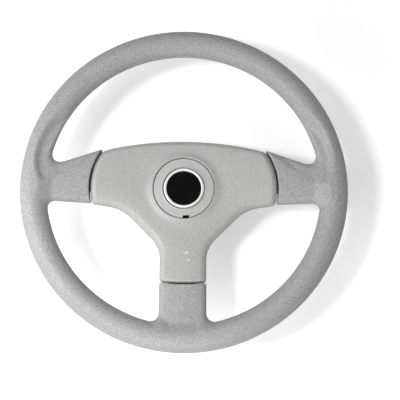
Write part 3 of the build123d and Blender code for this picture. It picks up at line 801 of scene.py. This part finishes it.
radii = np.concatenate([np.arange(*part) for part in GRIP_RADII])
points, faces = skin(grip_distance, radii, GRIP_TURNS, np.arange(*GRIP_HEIGHTS))
stands_for(mesh_piece("soft_grip", points, faces, grip_material), "rim_grip")

points, faces = front_shell()
stands_for(mesh_piece("front_shell", points, faces, shell_material, 35), "front_cover")

even = np.arange(0, 2 * math.pi, math.radians(0.6))
near_notch = np.radians(NOTCH_ANGLE + np.arange(-9.0, 9.05, 0.12)) % (2 * math.pi)
cap_angles = np.unique(np.round(np.concatenate([even, near_notch]), 5))
cap_rows = ((0.0, CAP_PROFILE[0][1] - CAP_FLOOR_DROP), *CAP_PROFILE, (0.0, CAP_PROFILE[-1][1]))
points, faces = turned(cap_rows, cap_angles, notched=True)
stands_for(mesh_piece("snap_in_cap", points, faces, cap_material, 35), "centre_cap")
points, faces = turned(RING_PROFILE, even)
stands_for(mesh_piece("badge_bezel", points, faces, ring_material, 40), "badge_ring")
points, faces = turned(dome_profile(), even)
stands_for(mesh_piece("badge_disc", points, faces, dome_material, 50), "badge_dome")
stands_for(cover_screws(steel_material), "cover_screws")

# Nodes that keep the CAD's own meshes
CARRIED_OVER = {
    "rear_cover": shell_material,
    "armature": nylon_material,
    "hub_adapter": cast_material,
    "hub_plate": steel_material,
    "hub_screws": steel_material,
}
for name, material in CARRIED_OVER.items():
    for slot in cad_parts[name].material_slots:
        slot.link = "OBJECT"
        slot.material = material


# Camera, as the photograph was taken
TILT = math.radians(12.09)
TURN = math.radians(1.22)
ROLL = math.radians(0.61)
FOCAL_PIXELS = 972.7
CAMERA_DISTANCE = 1039.2
PICTURE = 400
WHEEL_AT = (183.77, 187.32)
SENSOR = 36.0

toward = Vector((math.sin(TILT) * math.sin(TURN), -math.sin(TILT) * math.cos(TURN), math.cos(TILT)))
right = Vector((0, 1, 0)).cross(toward).normalized()
up = toward.cross(right)
turned_right = right * math.cos(ROLL) + up * math.sin(ROLL)
turned_up = toward.cross(turned_right)
camera = bpy.data.objects.new("camera", bpy.data.cameras.new("camera"))
bpy.context.collection.objects.link(camera)
centre = Vector((0, 0, RIM_Z)) * MM
place = Matrix((turned_right, turned_up, toward)).transposed().to_4x4()
place.translation = centre + toward * CAMERA_DISTANCE * MM
camera.matrix_world = place
camera.data.sensor_width = SENSOR
camera.data.lens = SENSOR * FOCAL_PIXELS / PICTURE
camera.data.shift_x = (PICTURE / 2 - WHEEL_AT[0]) / PICTURE
camera.data.shift_y = -(PICTURE / 2 - WHEEL_AT[1]) / PICTURE
bpy.context.scene.camera = camera
bpy.context.scene.view_settings.view_transform = "Standard"

# Soft boxes: direction from the wheel, distance and side in metres, power in watts
LAMPS = {
    "left key": ((-0.45, -0.14, 0.88), 1.6, 0.22, 12.0),
    "far high": ((0.05, 0.8, 1.1), 1.6, 0.7, 3.2),
    "left rim": ((-1.0, -0.15, 0.5), 0.5, 0.35, 1.4),
    "near rim": ((-0.1, -1.0, 0.5), 0.5, 0.35, 1.2),
    "low right": ((1.0, 0.1, 0.35), 1.6, 0.8, 2.8),
}
WORLD_LIGHT = 0.18

for name, (direction, distance, size, watts) in LAMPS.items():
    light = bpy.data.lights.new(name, "AREA")
    light.size = size
    light.energy = watts
    box = bpy.data.objects.new(name, light)
    away = Vector(direction).normalized()
    box.location = centre + away * distance
    box.rotation_euler = away.to_track_quat("Z", "Y").to_euler()
    box.visible_camera = False
    bpy.context.collection.objects.link(box)

# The world lights evenly from all sides, and is white where the camera sees it
world = bpy.data.worlds.new("studio")
bpy.context.scene.world = world
world.use_nodes = True
backdrop = world.node_tree
backdrop.nodes.clear()
seen = node(backdrop, "ShaderNodeLightPath").outputs["Is Camera Ray"]
level = ranged(backdrop, seen, 0.0, 1.0, WORLD_LIGHT, 1.0)
sky = node(backdrop, "ShaderNodeBackground", {"Color": (1.0, 1.0, 1.0, 1.0), "Strength": level})
node(backdrop, "ShaderNodeOutputWorld", {"Surface": sky.outputs[0]})

# Floor of white paper: the share of light it returns where the camera sees it and elsewhere, and a
# glow that the camera alone sees, so that it shows white and keeps the wheel's shadow
FLOOR_HALF = 4.0
FLOOR_SEEN = 0.96
FLOOR_LIT = 0.8
FLOOR_GLOW = 0.3
floor_mesh = bpy.data.meshes.new("floor")
corners = ((-1, -1), (1, -1), (1, 1), (-1, 1))
floor_mesh.from_pydata([(x * FLOOR_HALF, y * FLOOR_HALF, 0) for x, y in corners], [], [(0, 1, 2, 3)])
floor = bpy.data.objects.new("floor", floor_mesh)
bpy.context.collection.objects.link(floor)
floor_material, floor_tree, floor_shader = new_material("white paper")
ray = node(floor_tree, "ShaderNodeLightPath").outputs["Is Camera Ray"]
lit = (FLOOR_LIT, FLOOR_LIT, FLOOR_LIT, 1.0)
shown = (FLOOR_SEEN, FLOOR_SEEN, FLOOR_SEEN, 1.0)
paper = between(floor_tree, ray, lit, shown)
floor_tree.links.new(paper, floor_shader.inputs["Base Color"])
floor_shader.inputs["Roughness"].default_value = 0.9
glow = node(floor_tree, "ShaderNodeMath", {0: ray, 1: FLOOR_GLOW}, operation="MULTIPLY").outputs[0]
floor_shader.inputs["Emission Color"].default_value = (1.0, 1.0, 1.0, 1.0)
floor_tree.links.new(glow, floor_shader.inputs["Emission Strength"])
floor_mesh.materials.append(floor_material)
